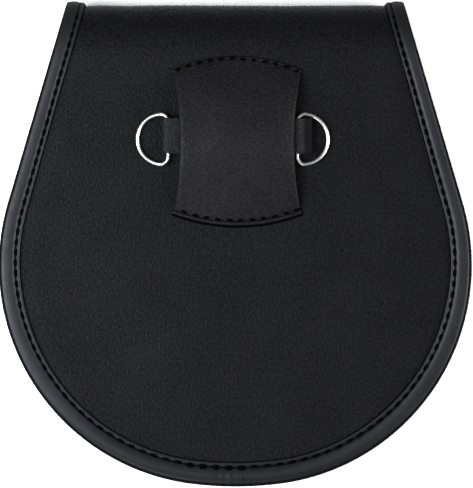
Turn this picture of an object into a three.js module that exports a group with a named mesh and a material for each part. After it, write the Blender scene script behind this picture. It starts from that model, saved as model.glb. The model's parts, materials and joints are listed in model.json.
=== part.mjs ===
// Sporran pouch in black leather, lying on its front with its back facing up (+Z).
// Millimetres. X runs across the pouch, +Y towards the fold at its top, Z = 0 is the surface it lies on.
// One long panel is the back, folds over the top and comes down the front as the flap. A binding strip
// wraps its whole edge. A gusset and a front panel make the pocket under the flap. On the back sit a
// belt loop and, passing under it, a strap that holds a D-ring at each end.
import * as THREE from "three";

// Body outline, seen from the back, to the outer edge of the binding. The hips are two arcs whose
// centres stand hipSpread apart.
const bodyWidth = 190;
const bodyHeight = 193.7;
const topWidth = 136.4;
const hipSpread = 13;
const bottomRadius = 142;

// Depth from the flap's bound face to the back's bound face, and how far the soft fold reaches up
// past the place where back and flap start to curve together
const bodyDepth = 31;
const foldReach = 20;

// Leather thicknesses and the gap between pieces that are sewn together
const panelWall = 2;
const frontWall = 1.8;
const gussetWall = 1.2;
const bindingWall = 1;
const sewnGap = 0.3;

// Flap that closes the front: how far it comes down from the fold, and its own outline
const flapLength = 126;
const flapWidth = 168;
const flapHipSpread = 52;
const flapBottomRadius = 118;

// Binding: from the edge to its cut side, and from the edge to its row of stitches. It stands up in a
// ridge between two shares of the stitch distance, and its edge is rounded at two shares of its height.
const bindingWidthTop = 7.7;
const bindingWidthBottom = 10;
const stitchInsetTop = 5.85;
const stitchInsetBottom = 7.9;
const bindingBulge = 0.5;
const bindingEdgeRound = 0.9;
const ridgeInner = 0.66;
const ridgeOuter = 0.33;
const edgeShoulder = 0.8;
const edgeSide = 0.35;

// Pocket: height of its mouth, how far the front edge lies inside the back edge, and the gusset's web
const mouthHeight = 160;
const frontInset = 2;
const webClearance = 0.7;
const webBow = 2.5;
const gussetTaper = 10;

// Belt loop: a patch sewn to the back at its top and bottom edges, waisted at its sides
const loopEndWidth = 52.4;
const loopWaist = 46;
const loopSideHeight = 58.6;
const loopTopCrown = 5.5;
const loopBottomCrown = 4.9;
const loopWall = 1.6;
const loopRise = 7.8;
const loopSeam = 5;
const loopShoulder = 13;
const loopCentreHeight = 138.1;
const loopSideways = 0.9;

// Strap under the loop, doubled over, with a D-ring in the fold at each end
const strapWidth = 14.3;
const strapWall = 1.2;
const strapSpan = 51.8;
const strapRamp = 6;
const strapCentreHeight = 140.8;
const strapSideways = -1;

// D-ring: wire, outside height along the bar, reach of the bow from the bar, corner radius
const wireDiameter = 1.6;
const ringHeight = 21.7;
const ringReach = 13.25;
const ringCorner = 2.4;
const ringDrop = 1.3;
const ringPlay = 0.3;

// Press fastener that holds the flap to the front panel
const fastenerDiameter = 12;
const fastenerRim = 0.5;
const fastenerAboveFlapEnd = 24;

// Facets
const hipSteps = 16;
const bottomSteps = 3;
const foldSteps = 14;
const ringArcSteps = 20;
const ringCornerSteps = 4;
const wireSides = 10;
const loopRows = 22;
const loopColumns = 10;

// Heights of the layers above the surface
const panelHalf = panelWall / 2;
const bindingReach = panelHalf + sewnGap + bindingWall;
const flapMid = bindingBulge + bindingReach;
const backMid = bodyDepth - bindingBulge - bindingReach;
const backFace = backMid + panelHalf;
const frontBindingFace = flapMid + bindingReach + sewnGap;
const frontFace = frontBindingFace + bindingWall + sewnGap;
const frontInside = frontFace + frontWall;
const foldRise = (backMid - flapMid) / 2;
const foldAxisZ = (backMid + flapMid) / 2;
const foldTop = bodyHeight - panelHalf;
const foldAxisY = foldTop - foldReach;
const panelInset = bindingWall + sewnGap;
const webInset = frontInset + bindingWidthBottom + webClearance;
const flapEnd = bodyHeight - flapLength;
const overallHeight = bodyHeight + sewnGap + bindingWall + bindingBulge;

const mix = (a, b, share) => a + (b - a) * share;
const smooth = (share) => THREE.MathUtils.smoothstep(share, 0, 1);
const mirrored = (p) => new THREE.Vector3(-p.x, p.y, p.z);

// Right half of an outline of straight sides, hip arcs and a bottom arc, all tangent.
// It starts at the bottom centre, at height 0, and ends where its straight side begins.
function outlineHalf({ width, height, hipSpacing, bottom }) {
  const hipX = hipSpacing / 2;
  const hip = width / 2 - hipX;
  const hipY = bottom - Math.sqrt((bottom - hip) ** 2 - hipX ** 2);
  const joinAngle = Math.atan2(hipY - bottom, hipX);
  const topX = topWidth / 2 - hipX;
  const topY = height - hipY;
  const sideAngle = Math.atan2(topY, topX) - Math.acos(hip / Math.hypot(topX, topY));
  const points = [];
  const addArc = (centreX, centreY, radius, angle) => {
    const nx = Math.cos(angle);
    const ny = Math.sin(angle);
    points.push({ x: centreX + radius * nx, y: centreY + radius * ny, nx, ny });
  };
  for (let i = 0; i < bottomSteps; i++) {
    addArc(0, bottom, bottom, mix(-Math.PI / 2, joinAngle, i / bottomSteps));
  }
  for (let i = 0; i <= hipSteps; i++) {
    addArc(hipX, hipY, hip, mix(joinAngle, sideAngle, i / hipSteps));
  }
  return { points, slope: Math.tan(sideAngle), sideAngle, height };
}

const bodyOutline = outlineHalf({
  width: bodyWidth,
  height: foldTop,
  hipSpacing: hipSpread,
  bottom: bottomRadius,
});
const flapOutline = outlineHalf({
  width: flapWidth,
  height: foldTop - flapEnd,
  hipSpacing: flapHipSpread,
  bottom: flapBottomRadius,
});

// Half-width of an outline's straight side at a depth below the fold's top
const sideAt = (outline, below) => topWidth / 2 + outline.slope * below;

// A place on the edge: its point, the direction out of the panel's edge and the panel's outward face
const station = (point, out, face) => ({ point, out, face });

// Places along the right edge of the back panel, from its bottom centre up to a height
function backEdge(topY) {
  const places = bodyOutline.points
    .filter((p) => p.y < topY)
    .map((p) => station(
      new THREE.Vector3(p.x, p.y, backMid),
      new THREE.Vector3(p.nx, p.ny, 0),
      new THREE.Vector3(0, 0, 1),
    ));
  const sideNormal = new THREE.Vector3(
    Math.cos(bodyOutline.sideAngle),
    Math.sin(bodyOutline.sideAngle),
    0,
  );
  const end = new THREE.Vector3(sideAt(bodyOutline, foldTop - topY), topY, backMid);
  places.push(station(end, sideNormal, new THREE.Vector3(0, 0, 1)));
  return places;
}

// Places along the right edge of the whole panel: up the back, over the fold and down the flap.
// Round the fold the sections lie along X, lengthened so that they measure the same square to the edge.
function wholeEdge() {
  const places = [];
  for (const place of backEdge(mouthHeight)) places.push(place);
  places.push(backEdge(Math.min(mouthHeight + gussetTaper, foldAxisY)).at(-1));
  for (let i = 0; i <= foldSteps; i++) {
    const turn = Math.PI * (i / foldSteps);
    const outline = i * 2 <= foldSteps ? bodyOutline : flapOutline;
    const y = foldAxisY + foldReach * Math.sin(turn);
    const z = foldAxisZ + foldRise * Math.cos(turn);
    const point = new THREE.Vector3(sideAt(outline, foldTop - y), y, z);
    const out = new THREE.Vector3(1 / Math.cos(outline.sideAngle), 0, 0);
    const face = new THREE.Vector3(0, Math.sin(turn) / foldReach, Math.cos(turn) / foldRise);
    places.push(station(point, out, face.normalize()));
  }
  for (const p of [...flapOutline.points].reverse()) {
    places.push(station(
      new THREE.Vector3(p.x, flapEnd + p.y, flapMid),
      new THREE.Vector3(p.nx, p.ny, 0),
      new THREE.Vector3(0, 0, -1),
    ));
  }
  return places;
}

// The same place on the left side
const mirrorPlace = ({ point, out, face }) => station(mirrored(point), mirrored(out), face);

// Joins closed sections into one body. A ring joins its last section to its first; otherwise both
// ends are capped with the section's own triangles.
function loft(sections, { ring, flat }) {
  const sides = sections[0].length;
  const positions = sections.flat().flatMap((p) => [p.x, p.y, p.z]);
  const faces = [];
  const spans = ring ? sections.length : sections.length - 1;
  for (let i = 0; i < spans; i++) {
    const next = (i + 1) % sections.length;
    for (let j = 0; j < sides; j++) {
      const k = (j + 1) % sides;
      const corners = [i * sides + j, next * sides + j, next * sides + k, i * sides + k];
      faces.push(corners[0], corners[1], corners[2], corners[0], corners[2], corners[3]);
    }
  }
  if (!ring) {
    const last = (sections.length - 1) * sides;
    const { area, triangulateShape } = THREE.ShapeUtils;
    for (const triangle of triangulateShape(flat, [])) {
      const sameTurn = area(triangle.map((i) => flat[i])) * area(flat) > 0;
      const [a, b, c] = sameTurn ? triangle : triangle.reverse();
      faces.push(a, b, c, last + a, last + c, last + b);
    }
  }
  return closedBody(positions, faces);
}

// A closed surface from corners and triangles, turned to face out
function closedBody(positions, faces) {
  let volume = 0;
  const corner = (i) => new THREE.Vector3().fromArray(positions, i * 3);
  for (let i = 0; i < faces.length; i += 3) {
    const [a, b, c] = [corner(faces[i]), corner(faces[i + 1]), corner(faces[i + 2])];
    volume += a.dot(b.cross(c));
  }
  const geometry = new THREE.BufferGeometry();
  geometry.setAttribute("position", new THREE.Float32BufferAttribute(positions, 3));
  geometry.setIndex(volume < 0 ? faces.reverse() : faces);
  geometry.computeVertexNormals();
  return geometry;
}

// A section's table of { inset, rise } placed at a station: inset runs in from the edge, rise out of the face
const placeSection = ({ point, out, face }, table) => table.map(({ inset, rise }) =>
  point.clone().addScaledVector(out, -inset).addScaledVector(face, rise));

const flatSection = (table) => table.map(({ inset, rise }) => new THREE.Vector2(inset, rise));

// Binding strip folded round an edge. above and below are the distances from the panel's middle to
// the strip's inner faces, and bulge is how far the strip stands up between the edge and the stitches.
function bindingSection({ width, stitch, above, below, bulge }) {
  const top = above + bindingWall;
  const bottom = -below - bindingWall;
  return [
    { inset: width, rise: above },
    { inset: width, rise: top },
    { inset: stitch, rise: top },
    { inset: stitch * ridgeInner, rise: top + bulge },
    { inset: stitch * ridgeOuter, rise: top + bulge },
    { inset: bindingEdgeRound / 2, rise: top * edgeShoulder },
    { inset: 0, rise: top * edgeSide },
    { inset: 0, rise: bottom * edgeSide },
    { inset: bindingEdgeRound / 2, rise: bottom * edgeShoulder },
    { inset: bindingEdgeRound, rise: bottom },
    { inset: width, rise: bottom },
    { inset: width, rise: -below },
    { inset: bindingWall, rise: -below },
    { inset: bindingWall, rise: above },
  ];
}

// The binding widens from where the straight sides end down to the pouch's bottom
const sideShare = (y) => Math.min(1, y / bodyOutline.points.at(-1).y);
const bindingWidthAt = (y) => mix(bindingWidthBottom, bindingWidthTop, sideShare(y));
const stitchInsetAt = (y) => mix(stitchInsetBottom, stitchInsetTop, sideShare(y));

function makeBackAndFlap() {
  const rows = wholeEdge().slice(1, -1);
  const sections = rows.map((place) => {
    const edge = place.point.clone().addScaledVector(place.out, -panelInset);
    const upper = edge.clone().addScaledVector(place.face, panelHalf);
    const lower = edge.clone().addScaledVector(place.face, -panelHalf);
    return [mirrored(upper), upper, lower, mirrored(lower)];
  });
  const flat = [[-1, 1], [1, 1], [1, -1], [-1, -1]].map(([x, y]) => new THREE.Vector2(x, y));
  return loft(sections, { ring: false, flat });
}

function makeEdgeBinding() {
  const right = wholeEdge();
  const left = right.slice(1, -1).reverse().map(mirrorPlace);
  const panelOnly = panelHalf + sewnGap;
  const withGusset = panelOnly + gussetWall + sewnGap;
  const sections = [...right, ...left].map((place) => {
    const onBack = place.face.z > 0.999;
    const spare = onBack ? smooth((place.point.y - mouthHeight) / gussetTaper) : 1;
    return placeSection(place, bindingSection({
      width: bindingWidthAt(place.point.y),
      stitch: stitchInsetAt(place.point.y),
      above: panelOnly,
      below: mix(withGusset, panelOnly, spare),
      bulge: bindingBulge,
    }));
  });
  return loft(sections, { ring: true });
}

// Places round the pocket's edge, from the mouth's right corner round the bottom to its left corner
function pocketEdge() {
  const right = backEdge(mouthHeight);
  return [...[...right].reverse(), ...right.slice(1).map(mirrorPlace)];
}

// Gusset: a flange under the back panel, a web that bows inwards, and a flange behind the front panel
function makeGusset() {
  const backTop = backFace - panelWall - sewnGap - backMid;
  const frontBottom = frontInside + sewnGap - backMid;
  const middle = (backTop + frontBottom) / 2;
  const table = [
    { inset: panelInset, rise: backTop },
    { inset: webInset + gussetWall, rise: backTop },
    { inset: webInset + gussetWall + webBow, rise: middle },
    { inset: webInset + gussetWall, rise: frontBottom },
    { inset: frontInset + panelInset, rise: frontBottom },
    { inset: frontInset + panelInset, rise: frontBottom + gussetWall },
    { inset: webInset, rise: frontBottom + gussetWall },
    { inset: webInset + webBow, rise: middle },
    { inset: webInset, rise: backTop - gussetWall },
    { inset: panelInset, rise: backTop - gussetWall },
  ];
  const sections = pocketEdge().map((place) => placeSection(place, table));
  return loft(sections, { ring: false, flat: flatSection(table) });
}

function makeFrontBinding() {
  const frontMid = (frontFace + frontInside) / 2 - backMid;
  const half = frontWall / 2 + sewnGap;
  const sectionAt = (y) => bindingSection({
    width: bindingWidthAt(y),
    stitch: stitchInsetAt(y),
    above: half + gussetWall + sewnGap,
    below: half,
    bulge: 0,
  }).map(({ inset, rise }) => ({ inset: inset + frontInset, rise: rise + frontMid }));
  const sections = pocketEdge().map((place) => placeSection(place, sectionAt(place.point.y)));
  return loft(sections, { ring: false, flat: flatSection(sectionAt(mouthHeight)) });
}

function makeFrontPanel() {
  const inset = frontInset + panelInset;
  const outline = pocketEdge().map(({ point, out }) =>
    new THREE.Vector2(point.x - out.x * inset, point.y - out.y * inset));
  return new THREE.ExtrudeGeometry(new THREE.Shape(outline), {
    depth: frontWall,
    bevelEnabled: false,
  });
}

// Belt loop as a grid of { x, y, z } on its underside, with z above the back panel
function loopSurface(across, up) {
  const halfWidth = mix(loopWaist, loopEndWidth, (2 * up - 1) ** 2) / 2;
  const crown = 1 - across ** 2;
  const top = loopSideHeight / 2 + loopTopCrown * crown;
  const bottom = -loopSideHeight / 2 - loopBottomCrown * crown;
  const fromEnd = Math.min(up, 1 - up) * (top - bottom);
  const z = (loopRise - sewnGap) * smooth((fromEnd - loopSeam) / loopShoulder);
  return new THREE.Vector3(across * halfWidth, mix(bottom, top, up), z);
}

// Face direction of that surface, from its slope over a small share of its length
const slopeStep = 1e-3;
function loopNormal(across, up) {
  const alongX = loopSurface(across + slopeStep, up).sub(loopSurface(across - slopeStep, up));
  const alongY = loopSurface(across, up + slopeStep).sub(loopSurface(across, up - slopeStep));
  return alongX.cross(alongY).normalize();
}

function makeBeltLoop() {
  const sections = [];
  for (let row = 0; row <= loopRows; row++) {
    const up = row / loopRows;
    const under = [];
    const over = [];
    for (let column = 0; column <= loopColumns; column++) {
      const across = (2 * column) / loopColumns - 1;
      const point = loopSurface(across, up);
      const inner = THREE.MathUtils.clamp(up, slopeStep, 1 - slopeStep);
      under.push(point);
      over.push(point.clone().addScaledVector(loopNormal(across, inner), loopWall));
    }
    sections.push([...under, ...over.reverse()]);
  }
  const flat = [];
  for (let column = 0; column <= loopColumns; column++) flat.push(new THREE.Vector2(column, 0));
  for (let column = loopColumns; column >= 0; column--) flat.push(new THREE.Vector2(column, 1));
  return loft(sections, { ring: false, flat });
}

// Heights above the back panel of the ring's bar, and of the bow's end where it lies on the panel
const wireRadius = wireDiameter / 2;
const tunnelRadius = wireRadius + ringPlay;
const foldOuter = tunnelRadius + strapWall;
const barHeight = sewnGap + foldOuter;
const bowHeight = sewnGap + wireRadius;
const bowReach = ringReach - wireRadius;
const ringTilt = Math.asin((barHeight - bowHeight) / bowReach);

function makeRingStrap() {
  const half = strapSpan / 2;
  const shape = new THREE.Shape();
  shape.moveTo(-half, 0);
  shape.lineTo(half, 0);
  shape.absarc(half, foldOuter, foldOuter, -Math.PI / 2, Math.PI / 2, false);
  shape.lineTo(half - strapRamp, 2 * strapWall);
  shape.lineTo(strapRamp - half, 2 * strapWall);
  shape.lineTo(-half, 2 * foldOuter);
  shape.absarc(-half, foldOuter, foldOuter, Math.PI / 2, (3 * Math.PI) / 2, false);
  for (const side of [-1, 1]) {
    const tunnel = new THREE.Path();
    tunnel.absarc(side * half, foldOuter, tunnelRadius, 0, 2 * Math.PI, true);
    shape.holes.push(tunnel);
  }
  return new THREE.ExtrudeGeometry(shape, {
    depth: strapWidth,
    bevelEnabled: false,
    curveSegments: 12,
  });
}

// Wire bent to a D: its bar lies on the Y axis and its bow reaches out along +X
function makeRing() {
  const bowRadius = ringHeight / 2 - wireRadius;
  const bowCentre = bowReach - bowRadius;
  const barHalf = bowRadius - ringCorner;
  const line = [];
  const addArc = (x, y, radius, from, to, steps) => {
    for (let i = 0; i <= steps; i++) {
      const angle = mix(from, to, i / steps);
      const out = new THREE.Vector3(Math.cos(angle), Math.sin(angle), 0);
      line.push({ out, point: new THREE.Vector3(x, y, 0).addScaledVector(out, radius) });
    }
  };
  addArc(ringCorner, barHalf, ringCorner, Math.PI, Math.PI / 2, ringCornerSteps);
  addArc(bowCentre, 0, bowRadius, Math.PI / 2, -Math.PI / 2, ringArcSteps);
  addArc(ringCorner, -barHalf, ringCorner, -Math.PI / 2, -Math.PI, ringCornerSteps);
  const places = line.filter(({ point }, i) => i === 0 || point.distanceTo(line[i - 1].point) > 0.01);
  const sections = places.map(({ out, point }) => {
    const section = [];
    for (let side = 0; side < wireSides; side++) {
      const turn = (2 * Math.PI * side) / wireSides;
      section.push(point.clone()
        .addScaledVector(out, wireRadius * Math.cos(turn))
        .addScaledVector(new THREE.Vector3(0, 0, 1), wireRadius * Math.sin(turn)));
    }
    return section;
  });
  return loft(sections, { ring: true });
}

// Closed press fastener: a cap under the flap, a neck and a post on the front panel
function makeFastener() {
  const gap = frontFace - (flapMid + panelHalf);
  const height = gap - 2 * sewnGap;
  const radius = fastenerDiameter / 2;
  const table = [
    { r: 0, z: 0 },
    { r: radius - fastenerRim, z: 0 },
    { r: radius, z: height * 0.2 },
    { r: radius, z: height * 0.5 },
    { r: radius * 0.75, z: height * 0.6 },
    { r: radius * 0.75, z: height },
    { r: 0, z: height },
  ];
  const profile = table.map(({ r, z }) => new THREE.Vector2(r, z));
  return new THREE.LatheGeometry(profile, 24).rotateX(Math.PI / 2);
}

const leather = (colour, roughness) =>
  new THREE.MeshStandardMaterial({ color: colour, roughness, metalness: 0 });
const nickel = new THREE.MeshStandardMaterial({ color: 0xd8d8d6, roughness: 0.18, metalness: 1 });
const panelLeather = leather(0x1c1c1f, 0.72);
const bindingLeather = leather(0x17171a, 0.45);
const pocketLeather = leather(0x19191b, 0.65);
const strapLeather = leather(0x1e1e20, 0.7);

const pouch = new THREE.Group();
pouch.position.y = -overallHeight / 2;

function addPiece(parent, name, geometry, material, x = 0, y = 0, z = 0) {
  const mesh = new THREE.Mesh(geometry, material);
  mesh.name = name;
  mesh.position.set(x, y, z);
  parent.add(mesh);
  return mesh;
}

addPiece(pouch, "back_and_flap", makeBackAndFlap(), panelLeather);
addPiece(pouch, "edge_binding", makeEdgeBinding(), bindingLeather);
addPiece(pouch, "gusset", makeGusset(), pocketLeather);
addPiece(pouch, "front_panel", makeFrontPanel(), pocketLeather, 0, 0, frontFace);
addPiece(pouch, "front_binding", makeFrontBinding(), bindingLeather);

const loopBase = backFace + sewnGap;
addPiece(pouch, "belt_loop", makeBeltLoop(), panelLeather, loopSideways, loopCentreHeight, loopBase);

const strap = addPiece(pouch, "ring_strap", makeRingStrap(), strapLeather);
strap.position.set(strapSideways, strapCentreHeight + strapWidth / 2, backFace + sewnGap);
strap.rotation.x = Math.PI / 2;

const ringSides = [
  { name: "d_ring_left", side: -1 },
  { name: "d_ring_right", side: 1 },
];
for (const { name, side } of ringSides) {
  const hinge = new THREE.Group();
  const barX = strapSideways + (side * strapSpan) / 2;
  hinge.position.set(barX, strapCentreHeight - ringDrop, backFace + barHeight);
  hinge.rotation.y = side > 0 ? 0 : Math.PI;
  const ring = addPiece(hinge, name, makeRing(), nickel);
  ring.rotation.y = side * ringTilt;
  pouch.add(hinge);
}

const fastenerHeight = flapEnd + fastenerAboveFlapEnd;
const fastenerBase = flapMid + panelHalf + sewnGap;
addPiece(pouch, "press_fastener", makeFastener(), nickel, 0, fastenerHeight, fastenerBase);

export default pouch;
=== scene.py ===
import json
import math

import bpy
import numpy as np
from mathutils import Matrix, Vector


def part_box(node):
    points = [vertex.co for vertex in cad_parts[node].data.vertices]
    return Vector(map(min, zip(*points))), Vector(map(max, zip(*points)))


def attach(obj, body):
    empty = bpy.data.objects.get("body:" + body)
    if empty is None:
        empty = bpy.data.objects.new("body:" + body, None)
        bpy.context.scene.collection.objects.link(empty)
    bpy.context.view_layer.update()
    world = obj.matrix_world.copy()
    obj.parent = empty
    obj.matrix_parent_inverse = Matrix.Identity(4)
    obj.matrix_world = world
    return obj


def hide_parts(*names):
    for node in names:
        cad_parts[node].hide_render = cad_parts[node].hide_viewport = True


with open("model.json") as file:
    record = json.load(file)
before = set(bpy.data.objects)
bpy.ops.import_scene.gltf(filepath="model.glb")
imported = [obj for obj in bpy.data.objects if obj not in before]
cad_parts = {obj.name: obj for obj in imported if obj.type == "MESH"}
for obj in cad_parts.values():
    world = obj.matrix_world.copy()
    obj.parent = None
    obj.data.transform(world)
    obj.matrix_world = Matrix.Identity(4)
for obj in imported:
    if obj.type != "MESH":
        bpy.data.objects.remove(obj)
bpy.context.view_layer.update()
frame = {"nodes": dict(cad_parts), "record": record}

bl_info = {
    "name": "Sporran Pouch",
    "version": (1, 0, 0),
    "blender": (4, 5, 0),
    "location": "View3D > Sidebar > Sporran",
    "description": "Leather, stitching and metal of a sporran pouch, built round its packed solids",
    "category": "Add Mesh",
}

MM = 0.001

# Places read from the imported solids. Heights along Y are counted from the pouch's lower rim.
RIM_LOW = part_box("edge_binding")[0]
RIM_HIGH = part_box("edge_binding")[1]
PANEL_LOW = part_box("back_and_flap")[0]
PANEL_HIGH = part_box("back_and_flap")[1]
FRONT_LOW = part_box("front_panel")[0]
FRONT_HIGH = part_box("front_panel")[1]
LOOP_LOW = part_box("belt_loop")[0]
LOOP_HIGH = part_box("belt_loop")[1]
STRAP_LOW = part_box("ring_strap")[0]
STRAP_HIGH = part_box("ring_strap")[1]
BACK_FACE = PANEL_HIGH.z
JOINTS = {joint["name"]: joint for joint in frame["record"]["behaviour"]["joints"]}


# Settings: the sizes and colours that a user would change

def length(name, description, default):
    return bpy.props.FloatProperty(
        name=name, description=description, default=default, min=0.0, precision=5,
        subtype="DISTANCE", unit="LENGTH",
    )


def share(name, description, default):
    return bpy.props.FloatProperty(
        name=name, description=description, default=default, min=0.0, max=1.0, subtype="FACTOR",
    )


def colour(name, description, default):
    return bpy.props.FloatVectorProperty(
        name=name, description=description, default=default, size=3, min=0.0, max=1.0,
        subtype="COLOR",
    )


class PouchSizes(bpy.types.PropertyGroup):
    """Outline of the pouch and the leather that it is cut from"""
    body_width: length("Body width", "Widest, over the binding", 190 * MM)
    body_height: length("Body height", "From the fold to the lower rim", 193.7 * MM)
    top_width: length("Top width", "Across the fold", 136.4 * MM)
    hip_spread: length("Hip spread", "Between the centres of the two hip arcs", 13 * MM)
    bottom_radius: length("Bottom radius", "Arc of the lower rim", 142 * MM)
    fold_reach: length("Fold reach", "Height over which back and flap curve together", 20 * MM)
    flap_length: length("Flap length", "From the fold down the front", 126 * MM)
    flap_width: length("Flap width", "Widest, over the binding", 168 * MM)
    flap_spread: length("Flap spread", "Between the centres of the flap's corner arcs", 52 * MM)
    flap_radius: length("Flap end radius", "Arc of the flap's end", 118 * MM)
    mouth_height: length("Mouth height", "Height of the pocket's mouth", 160 * MM)
    front_inset: length("Front inset", "How far the front's edge lies inside the back's", 2 * MM)
    panel_wall: length("Panel leather", "Thickness of back and flap", 2 * MM)
    gusset_wall: length("Gusset leather", "Thickness of the gusset", 1.2 * MM)
    web_inset: length("Gusset inset", "From the rim to the gusset's web", 12.7 * MM)
    web_bow: length("Gusset bow", "How far the web bows inwards", 2.5 * MM)
    seat: length("Seam gap", "Air between two pieces that are sewn together", 0.08 * MM)


class BindingSizes(bpy.types.PropertyGroup):
    """The folded strip round the edge and its row of stitches"""
    wall: length("Leather", "Thickness of the strip", 1.1 * MM)
    width_top: length("Width at the sides", "From the edge to the cut side", 7.7 * MM)
    width_bottom: length("Width at the bottom", "From the edge to the cut side", 10 * MM)
    stitch_top: length("Stitch line at the sides", "From the edge to the stitches", 5.85 * MM)
    stitch_bottom: length("Stitch line at the bottom", "From the edge to the stitches", 7.9 * MM)
    bulge: length("Bulge", "How far the strip stands up outside the stitches", 0.5 * MM)
    low_bulge: length("Bulge at the bottom", "How much more the strip stands up at the lower rim", 0.3 * MM)
    edge_round: length("Edge round", "Width of the rounding at the edge", 1.9 * MM)
    low_round: length("Edge round at the bottom", "Width of the rounding at the lower rim", 3.2 * MM)
    crest_round: length("Edge round on the fold", "Width of the rounding over the fold", 0.9 * MM)
    groove: length("Groove", "Depth that the thread is pulled into the leather", 0.72 * MM)
    pitch_top: length("Pitch at the top", "Stitch to stitch near the fold", 3.8 * MM)
    pitch_bottom: length("Pitch at the bottom", "Stitch to stitch at the lower rim", 5.5 * MM)
    stitch: length("Stitch", "Longest length of thread on top", 3.2 * MM)
    stitch_share: share("Stitch share", "Most of a pitch that its thread spans", 0.84)
    thread: length("Thread", "Thickness of the thread", 1.35 * MM)
    seam_side: length("Seam place", "Sideways from the centre to the strip's butt seam", 3.7 * MM)


class LoopSizes(bpy.types.PropertyGroup):
    """The belt loop, the ring strap under it and the D-rings"""
    end_width: length("Loop end width", "Across its top and bottom", 52.4 * MM)
    waist: length("Loop waist", "Across its middle", 46 * MM)
    side_height: length("Loop side height", "Corner to corner along a side", 58.6 * MM)
    top_crown: length("Top crown", "How far the top edge bows up", 5.5 * MM)
    bottom_crown: length("Bottom crown", "How far the bottom edge bows down", 4.9 * MM)
    wall: length("Loop leather", "Thickness of the loop", 1.6 * MM)
    seam: length("Seam length", "Flat part inside each row of stitches", 0.6 * MM)
    droop: length("Droop", "How far the right side hangs down to the strap", 2.4 * MM)
    # The slanted cuts show from above as dark lines: real edge dye, and also painted shadow along the
    # loop's side and bottom
    cut_side: length("Side cut", "Slant of the cut on the right side", 0.4 * MM)
    cut_bottom: length("Bottom cut", "Slant of the cut at the bottom end", 1.05 * MM)
    stitch_slant: length("Top slant", "How far the top row slants over half its length", 0.3 * MM)
    stitch_top: length("Top stitches", "From the top edge to its stitches", 1.1 * MM)
    stitch_bottom: length("Bottom stitches", "From the bottom edge to its stitches", 3.0 * MM)
    pitch_top: length("Top pitch", "Stitch to stitch along the top", 4.4 * MM)
    pitch_bottom: length("Bottom pitch", "Stitch to stitch along the bottom", 4.67 * MM)
    shift_bottom: length("Bottom shift", "How far the bottom row's middle stitch lies right", 1.3 * MM)
    thread: length("Loop thread", "Thickness of the loop's thread", 1.25 * MM)
    strap_wall: length("Strap leather", "Thickness of each of the strap's two layers", 1.2 * MM)
    strap_slack: length("Slack", "How far the right fold leans out past its ring's bar", 1.5 * MM)
    strap_lean: length("Fold lean", "How far the right fold's side slopes out past its top", 3.0 * MM)
    ring_play: length("Ring play", "Air round a ring's bar in its fold", 0.55 * MM)
    strap_ramp: length("Strap ramp", "Run of the upper layer down from the left fold", 14 * MM)
    wire: length("Ring wire", "Thickness of the D-rings' wire", 1.6 * MM)
    ring_corner: length("Ring corner", "Bend between bar and bow", 3.1 * MM)


class LeatherColours(bpy.types.PropertyGroup):
    """Finish of each leather, of the thread and of the metal"""
    panel: colour("Panel", "Back, flap and front", (0.0021, 0.0021, 0.0026))
    binding: colour("Binding", "Folded strip round the edge", (0.0061, 0.0062, 0.0084))
    loop: colour("Loop", "Belt loop", (0.0034, 0.0033, 0.0043))
    strap: colour("Strap", "Strap that holds the rings", (0.0072, 0.0071, 0.0086))
    pocket: colour("Gusset", "Gusset and the insides", (0.0054, 0.0054, 0.0063))
    cut_edge: colour("Cut edge", "Dyed cut sides of the leather", (0.0004, 0.0004, 0.0005))
    thread: colour("Thread", "Waxed sewing thread", (0.0003, 0.0003, 0.0004))
    metal: colour("Metal", "Nickel plated wire", (0.42, 0.42, 0.41))
    grain: length("Grain", "Size of the panel's pebble grain", 0.95 * MM)


class StudioSettings(bpy.types.PropertyGroup):
    """Floor, lights and camera"""
    lens: bpy.props.FloatProperty(
        name="Lens", description="Focal length of the camera", default=600.0, min=20.0, unit="CAMERA",
    )
    shown_height: length("Shown height", "Height of the view at the pouch", 196.3 * MM)
    view_right: length("View offset X", "Camera to the right of the pouch's centre", 0.5 * MM)
    view_down: length("View offset Y", "Camera below the pouch's centre", 0.3 * MM)
    floor: colour("Floor", "Pale table", (0.92, 0.92, 0.92))


# Curves of the outline

def smooth(t):
    t = np.clip(t, 0.0, 1.0)
    return t * t * (3 - 2 * t)


def half_outline(width, height, spread, bottom_radius, top_width, step=0.25 * MM):
    """Right half of an outline from its bottom centre to its top: places, ways out, side's slope"""
    hip_x = spread / 2
    hip = width / 2 - hip_x
    hip_y = bottom_radius - math.sqrt((bottom_radius - hip) ** 2 - hip_x ** 2)
    join = math.atan2(hip_y - bottom_radius, hip_x)
    to_top = (top_width / 2 - hip_x, height - hip_y)
    side = math.atan2(to_top[1], to_top[0]) - math.acos(hip / math.hypot(*to_top))
    places, outward = [], []
    arcs = ((0.0, bottom_radius, bottom_radius, -math.pi / 2, join), (hip_x, hip_y, hip, join, side))
    for x, y, radius, start, end in arcs:
        count = max(2, int(radius * (end - start) / step))
        turn = np.linspace(start, end, count, endpoint=False)
        normal = np.stack([np.cos(turn), np.sin(turn)], 1)
        places.append(np.array([x, y]) + radius * normal)
        outward.append(normal)
    start = np.array([hip_x + hip * math.cos(side), hip_y + hip * math.sin(side)])
    count = int(np.linalg.norm(start - (top_width / 2, height)) / step)
    along = np.linspace(0, 1, count)[:, None]
    places.append(start + along * (np.array([top_width / 2, height]) - start))
    outward.append(np.tile([math.cos(side), math.sin(side)], (count, 1)))
    return np.concatenate(places), np.concatenate(outward), side


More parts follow.
